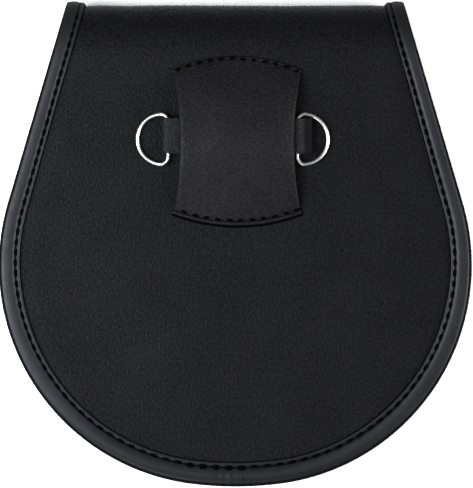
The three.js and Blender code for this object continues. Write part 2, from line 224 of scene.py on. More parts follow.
class Edge:
    """A bound edge as a table over its length: place, way out and face direction"""

    def __init__(self, place, out, face):
        self.place, self.out, self.face = place, out, face
        steps = np.linalg.norm(np.diff(place, axis=0), axis=1)
        self.run = np.concatenate([[0.0], np.cumsum(steps)])
        self.length = self.run[-1]

    def read(self, run, values):
        """Values that go with the rows of the table, at other places along the edge"""
        return np.interp(run, self.run, values)

    def at(self, run):
        """Place, way out and face direction at places along the edge"""
        parts = []
        for table in (self.place, self.out, self.face):
            parts.append(np.stack([self.read(run, table[:, k]) for k in range(3)], 1))
        parts[2] /= np.linalg.norm(parts[2], axis=1, keepdims=True)
        return parts

    def sections(self, run, columns):
        """Sections along the edge from columns of (distance in from it, rise along its face)"""
        place, out, face = self.at(run)
        inset, rise = (
            np.stack([np.broadcast_to(column[k], run.shape) for column in columns], 1) for k in (0, 1))
        return place[:, None] - out[:, None] * inset[..., None] + face[:, None] * rise[..., None]


def fold_height(sizes):
    """Height, from the lower rim, at which back and flap start to curve together"""
    return sizes.body_height - sizes.panel_wall / 2 - sizes.fold_reach


def middles(sizes):
    """Z of the middle of the back's leather and of the flap's"""
    return PANEL_HIGH.z - sizes.panel_wall / 2, PANEL_LOW.z + sizes.panel_wall / 2


def body_outline(sizes):
    top = sizes.body_height - sizes.panel_wall / 2
    return half_outline(
        sizes.body_width, top, sizes.hip_spread, sizes.bottom_radius, sizes.top_width)


def flap_outline(sizes):
    """Right half of the flap's edge, in its place below the fold"""
    top = sizes.flap_length - sizes.panel_wall / 2
    places, outward, side = half_outline(
        sizes.flap_width, top, sizes.flap_spread, sizes.flap_radius, sizes.top_width)
    return places + (0.0, sizes.body_height - sizes.flap_length), outward, side


def half_below(outline, top):
    """The part of an outline up to a height"""
    places, outward, side = outline
    kept = places[:, 1] <= top
    return places[kept], outward[kept], side


def fold_curve(sizes, side, flap_side, count):
    """The right edge over the fold: slope of the side, places and the ways that the face looks"""
    back_mid, flap_mid = middles(sizes)
    rise = (back_mid - flap_mid) / 2
    turn = np.linspace(0, math.pi, count)[1:-1]
    angle = np.where(turn < math.pi / 2, side, flap_side)
    x = sizes.top_width / 2 + np.tan(angle) * sizes.fold_reach * (1 - np.sin(turn))
    y = fold_height(sizes) + sizes.fold_reach * np.sin(turn)
    z = (back_mid + flap_mid) / 2 + rise * np.cos(turn)
    face = np.stack([0 * turn, np.sin(turn) / sizes.fold_reach, np.cos(turn) / rise], 1)
    face /= np.linalg.norm(face, axis=1, keepdims=True)
    return angle, np.stack([x, y, z], 1), face


# Stretch below the fold over which the way out of an edge turns level
LEAD = 30 * MM


def spread_out(places, outward, side, top):
    """Ways out that turn from square to the edge to level across on the last stretch below top"""
    turn = smooth((places[:, 1] - (top - LEAD)) / LEAD)[:, None]
    level = np.array([1 / math.cos(side), 0.0])
    return outward * (1 - turn) + level * turn


def with_column(rows, number):
    """Rows with one more column, the same number in each"""
    return np.column_stack([rows, np.full(len(rows), float(number))])


def whole_edge(sizes):
    """Edge of back and flap: from the bottom seam up the right, over, round the flap and back"""
    top = fold_height(sizes)
    back_mid, flap_mid = middles(sizes)
    body, body_out, side = half_below(body_outline(sizes), top)
    flap, flap_out, flap_side = half_below(flap_outline(sizes), top)
    body_out = spread_out(body, body_out, side, top)
    flap_out = spread_out(flap, flap_out, flap_side, top)
    angle, over, over_face = fold_curve(sizes, side, flap_side, 160)
    over_out = np.stack([1 / np.cos(angle), 0 * angle, 0 * angle], 1)
    place = np.concatenate([with_column(body, back_mid), over, with_column(flap, flap_mid)[::-1]])
    out = np.concatenate([with_column(body_out, 0), over_out, with_column(flap_out, 0)[::-1]])
    face = np.concatenate([with_column(0 * body, 1), over_face, with_column(0 * flap, -1)])
    return mirrored_round(place, out, face)


def mirrored_round(place, out, face):
    """Closes a right half into a whole round by its mirror image"""
    flip = np.array([-1.0, 1.0, 1.0])
    parts = [np.concatenate([a, (a * flip)[::-1][1:]]) for a in (place, out, face)]
    parts[0][:, 1] += RIM_LOW.y
    return Edge(*parts)


def pocket_edge(sizes):
    """Edge of the back from the mouth's right corner round the bottom to its left corner"""
    places, outward, _ = half_below(body_outline(sizes), sizes.mouth_height)
    place = with_column(places, middles(sizes)[0])[::-1]
    return mirrored_round(place, with_column(outward, 0)[::-1], with_column(0 * places, 1))


# Meshes

def new_object(name, vertices, faces, materials, face_slots=None, crease=50.0):
    mesh = bpy.data.meshes.new(name)
    mesh.from_pydata([tuple(v) for v in vertices], [], [tuple(f) for f in faces])
    for material in materials:
        mesh.materials.append(material)
    if face_slots is not None:
        mesh.polygons.foreach_set("material_index", np.asarray(face_slots, dtype=np.int32))
    mesh.polygons.foreach_set("use_smooth", np.ones(len(mesh.polygons), dtype=bool))
    mesh.set_sharp_from_angle(angle=math.radians(crease))
    mesh.update()
    mesh.validate()
    piece = bpy.data.objects.new(name, mesh)
    bpy.context.scene.collection.objects.link(piece)
    return piece


def loft(rows, ring, edge_columns=(), painted_shade_columns=()):
    """Closed sections joined into one skin. Quads that start in the listed columns get the second or
    the third material."""
    count, around = rows.shape[:2]
    index = np.arange(count * around).reshape(count, around)
    if ring:
        index = np.concatenate([index, index[:1]])
    a, b = index[:-1], index[1:]
    quads = np.stack([a, b, np.roll(b, -1, 1), np.roll(a, -1, 1)], -1)
    slots = np.zeros(quads.shape[:2], int)
    slots[:, list(edge_columns)] = 1
    slots[:, list(painted_shade_columns)] = 2
    return quads.reshape(-1, 4), slots.reshape(-1)


def outward_turned(vertices, faces):
    """The faces, turned over as a whole if the skin would be inside out"""
    corners = vertices[np.asarray([f[:3] for f in faces])]
    volume = np.einsum("ij,ij->i", corners[:, 0], np.cross(corners[:, 1], corners[:, 2])).sum()
    quads = [f for f in faces if len(f) == 4]
    if quads:
        corners = vertices[np.asarray([(f[0], f[2], f[3]) for f in quads])]
        volume += np.einsum("ij,ij->i", corners[:, 0], np.cross(corners[:, 1], corners[:, 2])).sum()
    return faces if volume > 0 else [tuple(f)[::-1] for f in faces]


def lofted_object(name, rows, ring, materials, edge_columns=(), caps=(), crease=50.0,
                  painted_shade_columns=(), marked=None):
    """A piece from sections. caps lists the faces, as column numbers, that close both ends. marked is
    a row and its columns that get the second material."""
    vertices = rows.reshape(-1, 3)
    quads, slots = loft(rows, ring, edge_columns, painted_shade_columns)
    if marked:
        slots[[marked[0] * rows.shape[1] + column for column in marked[1]]] = 1
    faces, slots = [tuple(q) for q in quads], list(slots)
    last = (rows.shape[0] - 1) * rows.shape[1]
    for cap in caps:
        faces.append(tuple(cap))
        faces.append(tuple(last + corner for corner in cap[::-1]))
        slots += [1, 1]
    faces = outward_turned(vertices, faces)
    return new_object(name, vertices, faces, materials, slots, crease)


def sheet_piece(name, one_face, other_face, leather, shift):
    """A closed sheet of leather from the grids of its two faces, with dyed cut sides"""
    rows = np.concatenate([one_face, other_face[:, ::-1]], 1) + np.array(shift)
    count = one_face.shape[1]
    last = 2 * count - 1
    caps = [(j, j + 1, last - 1 - j, last - j) for j in range(count - 1)]
    return lofted_object(
        name, rows, False, [leather, cut_edge()], edge_columns=(count - 1, last), caps=caps)


def across_sheet(count):
    """Places from -1 to 1 across a sheet, closer together towards its sides"""
    turn = 0.92 * math.pi / 2
    return np.sin(np.linspace(-1, 1, count) * turn) / math.sin(turn)


def thinned(places, count=150):
    """An even choice from the places that lie right of the middle"""
    right = places[places[:, 0] > 0.5 * MM]
    return right[np.linspace(0, len(right) - 1, count).astype(int)]


def capsule(steps=9, sides=8):
    """One stitch of unit size: a bent thread whose ends dive, as places (along, up, across) and faces"""
    rings = []
    for i in range(steps + 1):
        t = i / steps
        thick = 0.45 + 0.55 * math.sin(math.pi * t) ** 0.4
        lift = math.sin(math.pi * t) ** 0.4 - 1.0
        turn = np.linspace(0, 2 * math.pi, sides, endpoint=False)
        up = thick * np.cos(turn) / 2 + 0.55 * lift
        rings.append(np.stack([np.full(sides, t - 0.5), up, thick * np.sin(turn) / 2], 1))
    points = np.concatenate(rings)
    faces = []
    for i in range(steps):
        for j in range(sides):
            k = (j + 1) % sides
            faces.append((i * sides + j, i * sides + k, (i + 1) * sides + k, (i + 1) * sides + j))
    faces.append(tuple(range(sides))[::-1])
    faces.append(tuple(steps * sides + j for j in range(sides)))
    return points, faces


def sewn_row(name, centre, along, up, lengths, thickness, sway=0.09):
    """A row of thread stitches, joined into one mesh. sway is how far they lean, as a slope."""
    points, faces = capsule()
    along = along / np.linalg.norm(along, axis=1, keepdims=True)
    up = up - along * np.sum(up * along, axis=1, keepdims=True)
    up /= np.linalg.norm(up, axis=1, keepdims=True)
    across = np.cross(along, up)
    order = np.arange(len(centre))
    lean = (sway * np.sin(2.1 * order + 0.7))[:, None, None]
    size = (np.asarray(lengths) * (1 + 0.09 * np.sin(3.3 * order)))[:, None, None]
    reach = size * points[None, :, 0:1]
    vertices = (
        centre[:, None]
        + along[:, None] * reach
        + up[:, None] * thickness * points[None, :, 1:2]
        + across[:, None] * (thickness * points[None, :, 2:3] + lean * reach)
    )
    count = len(points)
    joined = [tuple(i * count + v for v in f) for i in range(len(centre)) for f in faces]
    return new_object(name, vertices.reshape(-1, 3), joined, [sewing_thread()], crease=80.0)


def ripple(x, y, waves):
    """Sum of long waves, each a row of (height, length along X, length along Y, phase)"""
    total = np.zeros_like(x)
    for height, long_x, long_y, phase in waves:
        total += height * np.sin(2 * math.pi * (x / long_x + y / long_y) + phase)
    return total


# Materials

class Shade:
    """Short hand for building one procedural material"""

    def __init__(self, name):
        self.material = bpy.data.materials.new(name)
        self.material.use_nodes = True
        self.tree = self.material.node_tree
        self.shader = self.tree.nodes["Principled BSDF"]
        self.where = self.add("ShaderNodeTexCoord").outputs["Object"]

    def add(self, kind, **values):
        node = self.tree.nodes.new(kind)
        for key, value in values.items():
            setattr(node, key, value)
        return node

    def link(self, a, b):
        self.tree.links.new(a, b)

    def stretched(self, scale):
        node = self.add("ShaderNodeMapping")
        self.link(self.where, node.inputs["Vector"])
        node.inputs["Scale"].default_value = scale
        return node.outputs["Vector"]

    def noise(self, size, detail=3.0, rough=0.55, scale=(1, 1, 1)):
        node = self.add("ShaderNodeTexNoise")
        self.link(self.stretched(scale), node.inputs["Vector"])
        node.inputs["Scale"].default_value = 1.0 / size
        node.inputs["Detail"].default_value = detail
        node.inputs["Roughness"].default_value = rough
        return node.outputs["Fac"]

    def cells(self, size, scale=(1, 1, 1)):
        node = self.add("ShaderNodeTexVoronoi")
        self.link(self.stretched(scale), node.inputs["Vector"])
        node.inputs["Scale"].default_value = 1.0 / size
        return node.outputs["Distance"]

    def spread(self, value, low, high, to_low, to_high):
        node = self.add("ShaderNodeMapRange")
        self.link(value, node.inputs["Value"])
        for key, number in zip(("From Min", "From Max", "To Min", "To Max"), (low, high, to_low, to_high)):
            node.inputs[key].default_value = number
        return node.outputs["Result"]

    def sum(self, a, b, weight):
        node = self.add("ShaderNodeMath", operation="MULTIPLY_ADD")
        self.link(b, node.inputs[0])
        node.inputs[1].default_value = weight
        self.link(a, node.inputs[2])
        return node.outputs[0]

    def tint(self, value, base, dark, light):
        """Between two shares of a base colour"""
        node = self.add("ShaderNodeMix", data_type="RGBA")
        self.link(value, node.inputs["Factor"])
        node.inputs[6].default_value = (*scaled(base, dark), 1.0)
        node.inputs[7].default_value = (*scaled(base, light), 1.0)
        return node.outputs[2]

    def blend(self, value, under, base, part):
        """From a colour socket to a share of a base colour"""
        node = self.add("ShaderNodeMix", data_type="RGBA")
        self.link(value, node.inputs["Factor"])
        self.link(under, node.inputs[6])
        node.inputs[7].default_value = (*scaled(base, part), 1.0)
        return node.outputs[2]

    def along(self, axis, low, high):
        """0 below one place along an axis, 1 above the other"""
        apart = self.add("ShaderNodeSeparateXYZ")
        self.link(self.where, apart.inputs[0])
        return self.spread(apart.outputs[axis], low, high, 0.0, 1.0)

    def bump(self, height, depth, strength=1.0, under=None):
        node = self.add("ShaderNodeBump")
        self.link(height, node.inputs["Height"])
        node.inputs["Distance"].default_value = depth
        node.inputs["Strength"].default_value = strength
        if under is not None:
            self.link(under, node.inputs["Normal"])
        return node.outputs["Normal"]

    def set(self, **sockets):
        for key, value in sockets.items():
            socket = self.shader.inputs[key.replace("_", " ")]
            if hasattr(value, "links"):
                self.link(value, socket)
            else:
                socket.default_value = value
        return self.material


def scaled(colour, factor):
    return tuple(min(1.0, c * factor) for c in colour)


MADE = {}


def made_once(build):
    """Makes a material when it is first asked for and gives the same one after that"""
    def give():
        if build.__name__ not in MADE:
            MADE[build.__name__] = build(build.__name__.replace("_", " "))
        return MADE[build.__name__]
    return give


def pebble_grain(shade, size, pebble_stretch=(1, 1, 1), speck_stretch=(1, 1, 1)):
    """Fine specks, and the relief of pebbles and specks together"""
    pebbles = shade.cells(size, scale=pebble_stretch)
    specks = shade.noise(0.9 * size, detail=1.0, scale=speck_stretch)
    return specks, shade.sum(specks, pebbles, -0.6)


def clouded_grain(name, base, dark, light, rough, shine, depth, cloud, pebble_stretch, speck_stretch):
    """Grained leather with soft lighter clouds. dark and light are shares of the base colour, rough
    is the roughness of its dark and light places, and cloud the size of the clouds."""
    shade = Shade(name)
    grain = bpy.context.scene.leather_colours.grain
    specks, relief = pebble_grain(shade, grain, pebble_stretch, speck_stretch)
    mottle = shade.sum(specks, shade.noise(cloud, detail=2.0), 0.30)
    tone = shade.spread(mottle, 0.45, 0.85, 0.0, 1.0)
    return shade.set(
        Base_Color=shade.tint(tone, base, dark, light),
        Roughness=shade.spread(mottle, 0.45, 0.85, *rough),
        Specular_IOR_Level=shine,
        Normal=shade.bump(relief, depth),
    )


@made_once
def panel_leather(name):
    """Matte grained leather of back, flap and front"""
    return clouded_grain(
        name, bpy.context.scene.leather_colours.panel, dark=0.35, light=2.0, rough=(0.60, 0.46),
        shine=0.047, depth=0.165 * MM, cloud=26 * MM,
        pebble_stretch=(1.0, 0.8, 1.0), speck_stretch=(1.0, 0.75, 1.0))


@made_once
def loop_leather(name):
    """The same leather on the belt loop, with a little more wear"""
    return clouded_grain(
        name, bpy.context.scene.leather_colours.loop, dark=0.40, light=1.8, rough=(0.58, 0.45),
        shine=0.075, depth=0.115 * MM, cloud=17 * MM,
        pebble_stretch=(0.85, 1.0, 1.0), speck_stretch=(0.8, 1.0, 1.0))


@made_once
def strap_leather(name):
    """Dull, grained leather of the strap that holds the rings, with painted shade on the right fold's side
    """
    look = bpy.context.scene.leather_colours
    shade = Shade(name)
    specks, relief = pebble_grain(shade, look.grain)
    tone = shade.spread(specks, 0.36, 0.64, 0.0, 1.0)
    leather = shade.tint(tone, look.strap, 0.55, 1.55)
    # Painted shade: the colour darkens just past the right ring's bar, on the side of the fold that turns
    # away from the lamps
    fold = JOINTS["ring_right_swivel"]["pos_m"][0] + 2.0 * MM
    painted_fold_shade = shade.along("X", fold, fold + 1.6 * MM)
    return shade.set(
        Base_Color=shade.blend(painted_fold_shade, leather, look.strap, 0.08),
        Roughness=0.62,
        Specular_IOR_Level=0.058,
        Normal=shade.bump(relief, 0.20 * MM),
    )


@made_once
def binding_leather(name):
    """Smooth satin leather with fine pull creases and a soft polish; painted shade darkens it near the fold
    and the lower rim
    """
    look = bpy.context.scene.leather_colours
    shade = Shade(name)
    fine = shade.noise(0.45 * MM, detail=3.0)
    creases = shade.noise(3.2 * MM, detail=3.0, rough=0.6)
    cloud = shade.noise(20 * MM, detail=2.0)
    tone = shade.spread(shade.sum(cloud, fine, 0.35), 0.45, 0.9, 0.0, 1.0)
    # Painted shade: the colour darkens over the last 32 mm below the fold's top; the same mask also makes
    # the leather duller there
    fold = shade.along("Y", RIM_HIGH.y - 32 * MM, RIM_HIGH.y - 4 * MM)
    rough = shade.sum(shade.spread(creases, 0.3, 0.7, 0.38, 0.48), fold, 0.30)
    leather = shade.tint(tone, look.binding, 0.75, 1.3)
    # Painted shade: the colour darkens over the lowest 45 mm towards the lower rim
    painted_low_shade = shade.along("Y", RIM_LOW.y + 45 * MM, RIM_LOW.y + 4 * MM)
    leather = shade.blend(painted_low_shade, leather, look.binding, 0.55)
    return shade.set(
        # Painted shade towards the fold
        Base_Color=shade.blend(fold, leather, look.binding, 0.22),
        Roughness=rough,
        Specular_IOR_Level=0.133,
        Normal=shade.bump(
            fine, 0.03 * MM, 0.7, under=shade.bump(creases, 0.16 * MM, 0.6)),
    )


@made_once
def pocket_leather(name):
    """Soft thin leather of the gusset, with fine wrinkles"""
    look = bpy.context.scene.leather_colours
    shade = Shade(name)
    wrinkles = shade.noise(2.2 * MM, detail=4.0, rough=0.65)
    pores = shade.cells(0.6 * MM)
    tone = shade.spread(shade.noise(14 * MM, detail=3.0), 0.3, 0.7, 0.0, 1.0)
    return shade.set(
        Base_Color=shade.tint(tone, look.pocket, 0.7, 1.4),
        Roughness=shade.spread(wrinkles, 0.3, 0.7, 0.5, 0.66),
        Specular_IOR_Level=0.167,
        Normal=shade.bump(pores, 0.05 * MM, 0.7, under=shade.bump(wrinkles, 0.2 * MM, 0.6)),
    )


def dull_finish(name, base, dark, light, size, rough, shine, depth, strength, detail=3.0,
                scale=(1, 1, 1)):
    """A dull surface, with one fine noise for both its tone and its relief. dark and light are shares
    of the base colour."""
    shade = Shade(name)
    fibres = shade.noise(size, detail=detail, scale=scale)
    return shade.set(
        Base_Color=shade.tint(fibres, base, dark, light),
        Roughness=rough,
        Specular_IOR_Level=shine,
        Normal=shade.bump(fibres, depth, strength),
    )


@made_once
def cut_edge(name):
    """Dyed cut side of leather, a little fibrous. Near black for the real edge dye; where a cut is slanted
    to show from above, it also stands in for the shadow along that edge (painted shadow).
    """
    return dull_finish(
        name, bpy.context.scene.leather_colours.cut_edge, dark=0.6, light=1.5, size=0.3 * MM,
        rough=0.8, shine=0.01, depth=0.08 * MM, strength=0.8, scale=(1.0, 1.0, 2.5))


@made_once
def painted_edge_shade(name):
    """Painted shade on the binding: its outermost turn and the groove under its thread, dark and dull"""
    return dull_finish(
        name, bpy.context.scene.leather_colours.binding, dark=0.12, light=0.35, size=0.7 * MM,
        rough=0.72, shine=0.017, depth=0.05 * MM, strength=0.6)


@made_once
def sewing_thread(name):
    """Waxed thread of twisted strands"""
    return dull_finish(
        name, bpy.context.scene.leather_colours.thread, dark=0.6, light=1.6, size=0.22 * MM,
        rough=0.6, shine=0.01, depth=0.06 * MM, strength=0.8, detail=2.0, scale=(1.0, 0.5, 1.0))


@made_once
def plated_nickel(name):
    """Softly bright plated wire with very fine handling marks"""
    look = bpy.context.scene.leather_colours
    shade = Shade(name)
    marks = shade.noise(0.5 * MM, detail=4.0, scale=(1.0, 4.0, 1.0))
    tone = shade.spread(shade.noise(4 * MM), 0.3, 0.7, 0.0, 1.0)
    return shade.set(
        Base_Color=shade.tint(tone, look.metal, 0.94, 1.0),
        Metallic=1.0,
        Roughness=shade.spread(marks, 0.3, 0.7, 0.30, 0.38),
        Normal=shade.bump(marks, 0.004 * MM, 0.5),
    )


@made_once
def pale_table(name):
    """Even, matte table top"""
    shade = Shade(name)
    floor = bpy.context.scene.studio_settings.floor
    return shade.set(
        Base_Color=shade.tint(shade.noise(60 * MM, detail=2.0), floor, 0.99, 1.0),
        Roughness=0.9,
        Specular_IOR_Level=0.2,
    )


def dress(piece, body, slot, *nodes):
    """Hangs a piece on its body and hides the solids, if any, whose place it takes. slot is not used."""
    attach(piece, body)
    if nodes:
        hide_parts(*nodes)


# Bound edges

# Part of the pouch's height over which the strip narrows
TAPERED_PART = 0.85

# Columns of a bound face, counted from its cut side, that lie under the thread; they get the painted shade
# of the groove
THREAD_BED = (7, 8)

# Shares of the stitch distance at which the face between stitches and edge is drawn
ARCH_STOPS = (0.80, 0.70, 0.60, 0.50, 0.40, 0.31, 0.23, 0.16, 0.10, 0.055, 0.02)

# Power of the rounding at the edge, a little fuller than a circle's
ROUND_POWER = 2.3

# Columns of a bound face on which the butt seam shows as a dark line
SEAM_MARK = range(13, 18)

# Stitches lie only where the face looks up or down by more than this share
STITCHED_LEVEL = 0.80

# A face counts as level where it looks up by more than this share
LEVEL = 0.999

# Stitches are doubled over these lengths of the edge's start and end, which meet at the bottom's
# centre. The second thread lies this much nearer to the edge and this much higher.
DOUBLED_START, DOUBLED_END = 8 * MM, 21 * MM
DOUBLED_OUT, DOUBLED_UP = 0.85 * MM, 0.25 * MM

# Room that a binding leaves round the gusset's leather
GUSSET_ROOM = 0.3 * MM

# Small puckers beside the bottom's centre: strength, distance before the edge's end and width
PUCKERS = (
    (-0.7, 0.8 * MM, 0.9 * MM),
    (1.0, 2.4 * MM, 0.8 * MM),
    (-0.8, 3.9 * MM, 0.9 * MM),
    (0.5, 5.6 * MM, 0.7 * MM),
    (-0.6, 7.0 * MM, 1.1 * MM),
)


def side_share(height, sizes):
    """0 at the lower rim, 1 where the strip has narrowed fully, shortly below the fold"""
    return np.clip(height / (TAPERED_PART * sizes.body_height), 0.0, 1.0)


def drift(low, high, t):
    return low + (high - low) * t


def edge_settings(edge, sizes, binding):
    """For every row of the edge's table: width of the strip, distance from the edge to the stitches,
    and the count of stitches up to there"""
    part = side_share(edge.place[:, 1] - RIM_LOW.y, sizes)
    width = drift(binding.width_bottom, binding.width_top, part)
    stitch = drift(binding.stitch_bottom, binding.stitch_top, part)
    pitch = drift(binding.pitch_bottom, binding.pitch_top, part)
    steps = np.diff(edge.run) / (0.5 * (pitch[1:] + pitch[:-1]))
    phase = np.concatenate([[0.0], np.cumsum(steps)])
    return width, stitch, phase * round(phase[-1]) / phase[-1]


def bound_face(width, stitch, top, base, bulge, groove, dip, edge_round, slope, arch=0.75):
    """One face of a bound edge from its cut side to the edge: columns of (inset, rise)"""
    rim = 0.10 * MM
    columns = [
        # The first steps form the slanted, dyed cut side; from above its dark dye also stands in for the
        # shadow line at the strip's cut side (painted shadow)
        (width, base),
        (width - 0.10 * MM, base + 0.5 * (top - base - slope)),
        (width - 0.36 * MM, top - 0.16 * MM - slope),
        (width - 0.60 * MM, top - 0.8 * slope),
        (drift(stitch, width, 0.55), top + rim - 0.35 * slope),
        (stitch + 0.85 * MM, top + 0.6 * rim),
        (stitch + 0.55 * MM, top - 0.25 * groove - 0.05 * dip),
        (stitch + 0.20 * MM, top - groove - 0.60 * dip),
        (stitch - 0.20 * MM, top - groove - 0.60 * dip),
        (stitch - 0.55 * MM, top - 0.25 * groove - 0.10 * dip),
        (stitch - 0.90 * MM, top + 0.12 * bulge),
    ]
    for stop in ARCH_STOPS:
        inset = stitch * stop
        crown = top + bulge * np.sin(math.pi * min(1.0, stop * 1.02)) ** arch
        nearness = np.clip(1 - inset / edge_round, 0, 1)
        columns.append((inset, crown * (1 - nearness ** ROUND_POWER) ** (1 / ROUND_POWER)))
    return columns


def bound_edge_rows(edge, run, width, stitch, above, below, wall, bulge, under_bulge, groove, dip,
                    edge_round, seam=0.0, slope=0.0, arch=0.75):
    """Sections of a folded strip, their cut columns and the columns that get painted shade: the groove
    under the thread and the outermost turn. above and below are the distances from the middle to its inner
    faces, and seam is 1 at the butt seam."""
    upper = bound_face(width, stitch, above + wall, above, bulge, groove, dip, edge_round, slope, arch)
    lower = bound_face(
        width, stitch, below + wall, below, under_bulge, 0.6 * groove, 0.5 * dip, edge_round, slope)
    columns = upper + [(0.0, 0.0)] + [(inset, -rise) for inset, rise in reversed(lower)]
    columns += [(wall, -below), (wall, above)]
    for k, (inset, rise) in enumerate(columns):
        reach = smooth((stitch - 1.0 * MM - inset) / (1.0 * MM)) * smooth(inset / (1.5 * MM))
        columns[k] = (inset, rise * (1 - 0.02 * seam * reach))
    tip = len(upper)
    end = tip + len(lower) - 1
    # Painted shade: the groove under the thread and the strip's outermost turn get the dark, dull material
    shaded_columns = (*THREAD_BED, *range(tip - 4, tip + 4), *(end - column for column in THREAD_BED))
    return edge.sections(run, columns), (0, 1, end - 1, end), shaded_columns


def stitch_places(edge, phase):
    """Places of the stitches' middles along the edge"""
    return np.interp(np.arange(0.5, phase[-1]), phase, edge.run)


def sewn_line(name, edge, phase, run, stitch, rise, binding, face_sign=1):
    """Stitches at the given places along an edge, on one of its faces"""
    reach = 0.4 * MM
    place, out, face = edge.at(run)
    inset = edge.read(run, stitch)[:, None]
    ahead, ahead_out, _ = edge.at(np.clip(run + reach, 0, edge.length))
    behind, behind_out, _ = edge.at(np.clip(run - reach, 0, edge.length))
    along = (ahead - ahead_out * inset) - (behind - behind_out * inset)
    pitch = edge.read(run, np.gradient(edge.run, phase))
    lengths = np.minimum(binding.stitch, pitch * binding.stitch_share)
    centre = place - out * inset + face * (face_sign * rise)
    return sewn_row(name, centre, along, face * face_sign, lengths, binding.thread)


# Operators, one for each piece or group of like pieces


class SPORRAN_OT_back_and_flap(bpy.types.Operator):
    """One long leather panel: the back, the soft fold over the top and the flap down the front"""
    bl_idname = "sporran.back_and_flap"
    bl_label = "Back and Flap"

    def execute(self, context):
        sizes = context.scene.pouch_sizes
        binding = context.scene.binding_sizes
        half = sizes.panel_wall / 2
        inset = binding.wall + sizes.seat
        back_mid, flap_mid = middles(sizes)
        body, body_out, side = body_outline(sizes)
        flap, flap_out, flap_side = flap_outline(sizes)

        def level_part(places, outward, mid, face_sign):
            inner = places - outward * inset
            inner = with_column(thinned(inner[inner[:, 1] < fold_height(sizes)]), mid)
            return with_column(with_column(inner, 0), face_sign)

        angle, over, over_face = fold_curve(sizes, side, flap_side, 44)
        over[:, 0] -= inset / np.cos(angle)
        table = np.concatenate([
            level_part(body, body_out, back_mid, 1),
            np.column_stack([over, over_face[:, 1:]]),
            level_part(flap, flap_out, flap_mid, -1)[::-1],
        ])
        across = across_sheet(97)
        x = table[:, 0:1] * across
        y, z, normal_y, normal_z = (np.repeat(table[:, k:k + 1], len(across), 1) for k in range(1, 5))
        waves = (
            (0.07 * MM, 90 * MM, 140 * MM, 0.4),
            (0.05 * MM, -60 * MM, 75 * MM, 1.9),
            (0.03 * MM, 34 * MM, -48 * MM, 0.8),
        )
        crests = sum(wave[0] for wave in waves)
        cover = drift(binding.width_bottom, binding.width_top, side_share(y, sizes))
        beyond = table[:, 0:1] - np.abs(x) - cover
        pinch = -0.22 * MM * (1 - smooth(beyond / (5 * MM)))
        lift = (ripple(x, y, waves) - crests) * smooth(beyond / (20 * MM)) + pinch
        upper = np.stack([x, y + normal_y * (half + lift), z + normal_z * (half + lift)], -1)
        lower = np.stack([x, y - normal_y * (half - lift), z - normal_z * (half - lift)], -1)
        piece = sheet_piece(
            "back_and_flap_leather", upper, lower, panel_leather(), (0.0, RIM_LOW.y, 0.0))
        dress(piece, "pouch", "panel_leather", "back_and_flap")
        return {"FINISHED"}


class SPORRAN_OT_edge_binding(bpy.types.Operator):
    """The folded strip sewn round back and flap, with its stitches and its butt seam"""
    bl_idname = "sporran.edge_binding"
    bl_label = "Edge Binding"

    def execute(self, context):
        sizes = context.scene.pouch_sizes
        binding = context.scene.binding_sizes
        edge = whole_edge(sizes)
        width, stitch, phase = edge_settings(edge, sizes, binding)
        half = sizes.panel_wall / 2 + sizes.seat
        self.strip(sizes, binding, edge, width, stitch, phase, half)

        places = stitch_places(edge, phase)
        facing = edge.at(places)[2][:, 2]
        doubled = (places > edge.length - DOUBLED_END) | (places < DOUBLED_START)
        top = half + binding.wall
        rise = top - 0.30 * binding.groove
        for name, kept, inset, lift, face_sign in (
            ("edge_binding_stitches", abs(facing) > STITCHED_LEVEL, stitch, rise, 1),
            ("edge_binding_backstitches", doubled, stitch - DOUBLED_OUT, rise + DOUBLED_UP, 1),
            ("flap_inner_stitches", facing < -STITCHED_LEVEL, stitch, top - 0.25 * binding.groove, -1),
        ):
            row = sewn_line(name, edge, phase, places[kept], inset, lift, binding, face_sign)
            dress(row, "pouch", "binding_leather")
        return {"FINISHED"}

    def strip(self, sizes, binding, edge, width, stitch, phase, half):
        """The strip itself, wavy like hand-pulled leather and fuller at the lower rim"""
        fine = binding.seam_side + np.array([-0.9, -0.45, -0.2, 0.2, 0.45, 0.9]) * MM
        run = np.unique(np.concatenate([np.arange(0, edge.length, 0.75 * MM), fine]))
        run = run[run < edge.length - 0.3 * MM]
        place, _, face = edge.at(run)
        height = place[:, 1] - RIM_LOW.y
        on_back = face[:, 2] > LEVEL
        sewn = np.sin(math.pi * edge.read(run, phase)) ** 2
        spare = np.where(on_back, smooth((height - sizes.mouth_height) / (10 * MM)), 1.0)
        low = np.where(on_back, 1 - smooth(height / (50 * MM)), 0.0)
        crest = smooth((height - fold_height(sizes)) / (0.8 * sizes.fold_reach))
        gusset = sizes.gusset_wall + GUSSET_ROOM
        sag = 0.045 * MM * np.sin(run / (23 * MM)) + 0.035 * MM * np.sin(run / (9.5 * MM) + 1.0)
        puckers = sum(
            strength * np.exp(-((run - edge.length + before) / wide) ** 2)
            for strength, before, wide in PUCKERS)
        low_or_side = drift(binding.low_round, binding.edge_round, smooth(height / (45 * MM)))
        rows, cut_columns, shaded_columns = bound_edge_rows(
            edge, run, edge.read(run, width) + sag, edge.read(run, stitch),
            above=half,
            below=half + gusset * (1 - spare),
            wall=binding.wall,
            bulge=binding.bulge * (1 + 0.22 * puckers) + sag + binding.low_bulge * low,
            under_bulge=0.5 * binding.bulge * spare,
            groove=0.62 * binding.groove * (1 - crest),
            dip=0.6 * binding.groove * sewn * (1 - crest),
            edge_round=drift(low_or_side, binding.crest_round, crest),
            seam=np.exp(-((run - binding.seam_side) / (0.16 * MM)) ** 2),
            slope=0.55 * MM * crest,
            arch=0.75 + 0.5 * low)
        piece = lofted_object(
            "edge_binding_leather", rows, True, [binding_leather(), cut_edge(), painted_edge_shade()],
            edge_columns=cut_columns, painted_shade_columns=shaded_columns, crease=60.0,
            marked=(int(np.searchsorted(run, binding.seam_side)) - 1, SEAM_MARK))
        dress(piece, "pouch", "binding_leather", "edge_binding")


